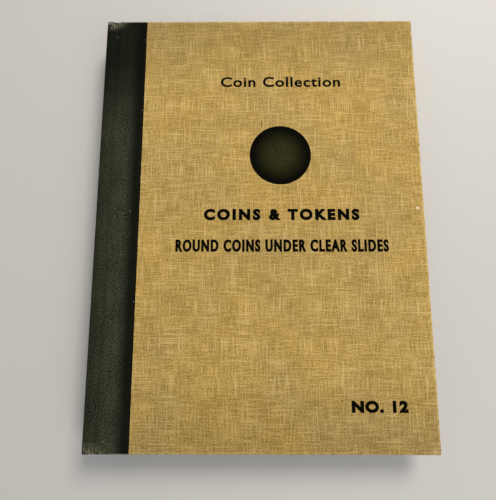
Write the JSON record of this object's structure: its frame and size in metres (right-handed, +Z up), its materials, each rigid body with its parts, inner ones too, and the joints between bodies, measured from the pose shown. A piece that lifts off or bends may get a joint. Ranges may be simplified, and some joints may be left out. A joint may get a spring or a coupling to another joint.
{
  "type": "coin album",
  "caption": "Cloth-bound book album for coins, with a black spine strip, tan linen covers, hinged board leaves with round wells, and clear slides that pull out.",
  "frame": {"origin": "middle of the closed album's footprint, at the outer face of the back cover", "axes": "+X from the spine to the fore edge, +Y from the tail to the head, +Z up through the closed album, out of the front cover"},
  "size_m": [0.1906, 0.254, 0.022],
  "materials": {
    "tan_cloth": "matt linen-weave book cloth",
    "black_cloth": "matt book cloth",
    "grey_board": "matt binder's board",
    "cream_paper": "uncoated paper",
    "leaf_board": "matt paper-faced board",
    "clear_sheet": "clear acetate"
  },
  "bodies": {
    "back_cover": {"back_board": "grey_board", "back_cover_cloth": "tan_cloth", "back_hinge_cloth": "black_cloth", "back_endpaper": "cream_paper"},
    "front_cover": {"front_board": "grey_board", "front_cover_cloth": "tan_cloth", "front_hinge_cloth": "black_cloth", "front_endpaper": "cream_paper"},
    "spine": {"spine_cloth": "black_cloth", "spine_board": "grey_board", "spine_lining": "cream_paper"},
    "leaf_1": {"leaf_1_core_board": "leaf_board", "leaf_1_hinge_cloth": "black_cloth", "leaf_1_front_board": "leaf_board", "leaf_1_back_board": "leaf_board"},
    "leaf_2": {"leaf_2_core_board": "leaf_board", "leaf_2_hinge_cloth": "black_cloth", "leaf_2_front_board": "leaf_board", "leaf_2_back_board": "leaf_board"},
    "leaf_3": {"leaf_3_core_board": "leaf_board", "leaf_3_hinge_cloth": "black_cloth", "leaf_3_front_board": "leaf_board", "leaf_3_back_board": "leaf_board"},
    "leaf_1_front_slide_1": {"leaf_1_front_slide_1": "clear_sheet"},
    "leaf_1_front_slide_2": {"leaf_1_front_slide_2": "clear_sheet"},
    "leaf_1_front_slide_3": {"leaf_1_front_slide_3": "clear_sheet"},
    "leaf_1_front_slide_4": {"leaf_1_front_slide_4": "clear_sheet"},
    "leaf_1_front_slide_5": {"leaf_1_front_slide_5": "clear_sheet"},
    "leaf_1_back_slide_1": {"leaf_1_back_slide_1": "clear_sheet"},
    "leaf_1_back_slide_2": {"leaf_1_back_slide_2": "clear_sheet"},
    "leaf_1_back_slide_3": {"leaf_1_back_slide_3": "clear_sheet"},
    "leaf_1_back_slide_4": {"leaf_1_back_slide_4": "clear_sheet"},
    "leaf_1_back_slide_5": {"leaf_1_back_slide_5": "clear_sheet"},
    "leaf_2_front_slide_1": {"leaf_2_front_slide_1": "clear_sheet"},
    "leaf_2_front_slide_2": {"leaf_2_front_slide_2": "clear_sheet"},
    "leaf_2_front_slide_3": {"leaf_2_front_slide_3": "clear_sheet"},
    "leaf_2_front_slide_4": {"leaf_2_front_slide_4": "clear_sheet"},
    "leaf_2_front_slide_5": {"leaf_2_front_slide_5": "clear_sheet"},
    "leaf_2_back_slide_1": {"leaf_2_back_slide_1": "clear_sheet"},
    "leaf_2_back_slide_2": {"leaf_2_back_slide_2": "clear_sheet"},
    "leaf_2_back_slide_3": {"leaf_2_back_slide_3": "clear_sheet"},
    "leaf_2_back_slide_4": {"leaf_2_back_slide_4": "clear_sheet"},
    "leaf_2_back_slide_5": {"leaf_2_back_slide_5": "clear_sheet"},
    "leaf_3_front_slide_1": {"leaf_3_front_slide_1": "clear_sheet"},
    "leaf_3_front_slide_2": {"leaf_3_front_slide_2": "clear_sheet"},
    "leaf_3_front_slide_3": {"leaf_3_front_slide_3": "clear_sheet"},
    "leaf_3_front_slide_4": {"leaf_3_front_slide_4": "clear_sheet"},
    "leaf_3_front_slide_5": {"leaf_3_front_slide_5": "clear_sheet"},
    "leaf_3_back_slide_1": {"leaf_3_back_slide_1": "clear_sheet"},
    "leaf_3_back_slide_2": {"leaf_3_back_slide_2": "clear_sheet"},
    "leaf_3_back_slide_3": {"leaf_3_back_slide_3": "clear_sheet"},
    "leaf_3_back_slide_4": {"leaf_3_back_slide_4": "clear_sheet"},
    "leaf_3_back_slide_5": {"leaf_3_back_slide_5": "clear_sheet"}
  },
  "joints": [
    {"name": "back_hinge_fold", "type": "hinge", "parent": "back_cover", "child": "spine", "pos_m": [-0.09395, 0, 0.0013], "axis": [0, -1, 0], "range_deg": [0, 90]},
    {"name": "front_hinge_open", "type": "hinge", "parent": "spine", "child": "front_cover", "pos_m": [-0.09395, 0, 0.0207], "axis": [0, -1, 0], "range_deg": [0, 90]},
    {"name": "leaf_1_turn", "type": "hinge", "parent": "spine", "child": "leaf_1", "pos_m": [-0.09125, 0, 0.0161], "axis": [0, -1, 0], "range_deg": [0, 75]},
    {"name": "leaf_2_turn", "type": "hinge", "parent": "spine", "child": "leaf_2", "pos_m": [-0.09125, 0, 0.011], "axis": [0, -1, 0], "range_deg": [-15, 0]},
    {"name": "leaf_3_turn", "type": "hinge", "parent": "spine", "child": "leaf_3", "pos_m": [-0.09125, 0, 0.0059], "axis": [0, -1, 0], "range_deg": [-75, 0]},
    {"name": "leaf_1_front_slide_1_pull", "type": "slide", "parent": "leaf_1", "child": "leaf_1_front_slide_1", "axis": [1, 0, 0], "range_m": [0, 0.165]},
    {"name": "leaf_1_front_slide_2_pull", "type": "slide", "parent": "leaf_1", "child": "leaf_1_front_slide_2", "axis": [1, 0, 0], "range_m": [0, 0.165]},
    {"name": "leaf_1_front_slide_3_pull", "type": "slide", "parent": "leaf_1", "child": "leaf_1_front_slide_3", "axis": [1, 0, 0], "range_m": [0, 0.165]},
    {"name": "leaf_1_front_slide_4_pull", "type": "slide", "parent": "leaf_1", "child": "leaf_1_front_slide_4", "axis": [1, 0, 0], "range_m": [0, 0.165]},
    {"name": "leaf_1_front_slide_5_pull", "type": "slide", "parent": "leaf_1", "child": "leaf_1_front_slide_5", "axis": [1, 0, 0], "range_m": [0, 0.165]},
    {"name": "leaf_1_back_slide_1_pull", "type": "slide", "parent": "leaf_1", "child": "leaf_1_back_slide_1", "axis": [1, 0, 0], "range_m": [0, 0.165]},
    {"name": "leaf_1_back_slide_2_pull", "type": "slide", "parent": "leaf_1", "child": "leaf_1_back_slide_2", "axis": [1, 0, 0], "range_m": [0, 0.165]},
    {"name": "leaf_1_back_slide_3_pull", "type": "slide", "parent": "leaf_1", "child": "leaf_1_back_slide_3", "axis": [1, 0, 0], "range_m": [0, 0.165]},
    {"name": "leaf_1_back_slide_4_pull", "type": "slide", "parent": "leaf_1", "child": "leaf_1_back_slide_4", "axis": [1, 0, 0], "range_m": [0, 0.165]},
    {"name": "leaf_1_back_slide_5_pull", "type": "slide", "parent": "leaf_1", "child": "leaf_1_back_slide_5", "axis": [1, 0, 0], "range_m": [0, 0.165]},
    {"name": "leaf_2_front_slide_1_pull", "type": "slide", "parent": "leaf_2", "child": "leaf_2_front_slide_1", "axis": [1, 0, 0], "range_m": [0, 0.165]},
    {"name": "leaf_2_front_slide_2_pull", "type": "slide", "parent": "leaf_2", "child": "leaf_2_front_slide_2", "axis": [1, 0, 0], "range_m": [0, 0.165]},
    {"name": "leaf_2_front_slide_3_pull", "type": "slide", "parent": "leaf_2", "child": "leaf_2_front_slide_3", "axis": [1, 0, 0], "range_m": [0, 0.165]},
    {"name": "leaf_2_front_slide_4_pull", "type": "slide", "parent": "leaf_2", "child": "leaf_2_front_slide_4", "axis": [1, 0, 0], "range_m": [0, 0.165]},
    {"name": "leaf_2_front_slide_5_pull", "type": "slide", "parent": "leaf_2", "child": "leaf_2_front_slide_5", "axis": [1, 0, 0], "range_m": [0, 0.165]},
    {"name": "leaf_2_back_slide_1_pull", "type": "slide", "parent": "leaf_2", "child": "leaf_2_back_slide_1", "axis": [1, 0, 0], "range_m": [0, 0.165]},
    {"name": "leaf_2_back_slide_2_pull", "type": "slide", "parent": "leaf_2", "child": "leaf_2_back_slide_2", "axis": [1, 0, 0], "range_m": [0, 0.165]},
    {"name": "leaf_2_back_slide_3_pull", "type": "slide", "parent": "leaf_2", "child": "leaf_2_back_slide_3", "axis": [1, 0, 0], "range_m": [0, 0.165]},
    {"name": "leaf_2_back_slide_4_pull", "type": "slide", "parent": "leaf_2", "child": "leaf_2_back_slide_4", "axis": [1, 0, 0], "range_m": [0, 0.165]},
    {"name": "leaf_2_back_slide_5_pull", "type": "slide", "parent": "leaf_2", "child": "leaf_2_back_slide_5", "axis": [1, 0, 0], "range_m": [0, 0.165]},
    {"name": "leaf_3_front_slide_1_pull", "type": "slide", "parent": "leaf_3", "child": "leaf_3_front_slide_1", "axis": [1, 0, 0], "range_m": [0, 0.165]},
    {"name": "leaf_3_front_slide_2_pull", "type": "slide", "parent": "leaf_3", "child": "leaf_3_front_slide_2", "axis": [1, 0, 0], "range_m": [0, 0.165]},
    {"name": "leaf_3_front_slide_3_pull", "type": "slide", "parent": "leaf_3", "child": "leaf_3_front_slide_3", "axis": [1, 0, 0], "range_m": [0, 0.165]},
    {"name": "leaf_3_front_slide_4_pull", "type": "slide", "parent": "leaf_3", "child": "leaf_3_front_slide_4", "axis": [1, 0, 0], "range_m": [0, 0.165]},
    {"name": "leaf_3_front_slide_5_pull", "type": "slide", "parent": "leaf_3", "child": "leaf_3_front_slide_5", "axis": [1, 0, 0], "range_m": [0, 0.165]},
    {"name": "leaf_3_back_slide_1_pull", "type": "slide", "parent": "leaf_3", "child": "leaf_3_back_slide_1", "axis": [1, 0, 0], "range_m": [0, 0.165]},
    {"name": "leaf_3_back_slide_2_pull", "type": "slide", "parent": "leaf_3", "child": "leaf_3_back_slide_2", "axis": [1, 0, 0], "range_m": [0, 0.165]},
    {"name": "leaf_3_back_slide_3_pull", "type": "slide", "parent": "leaf_3", "child": "leaf_3_back_slide_3", "axis": [1, 0, 0], "range_m": [0, 0.165]},
    {"name": "leaf_3_back_slide_4_pull", "type": "slide", "parent": "leaf_3", "child": "leaf_3_back_slide_4", "axis": [1, 0, 0], "range_m": [0, 0.165]},
    {"name": "leaf_3_back_slide_5_pull", "type": "slide", "parent": "leaf_3", "child": "leaf_3_back_slide_5", "axis": [1, 0, 0], "range_m": [0, 0.165]}
  ],
  "couplings": [
    {"joint": "front_hinge_open", "follows": "back_hinge_fold", "ratio": 1},
    {"joint": "leaf_1_turn", "follows": "back_hinge_fold", "ratio": 0.83333},
    {"joint": "leaf_2_turn", "follows": "back_hinge_fold", "ratio": -0.16667},
    {"joint": "leaf_3_turn", "follows": "back_hinge_fold", "ratio": -0.83333}
  ]
}
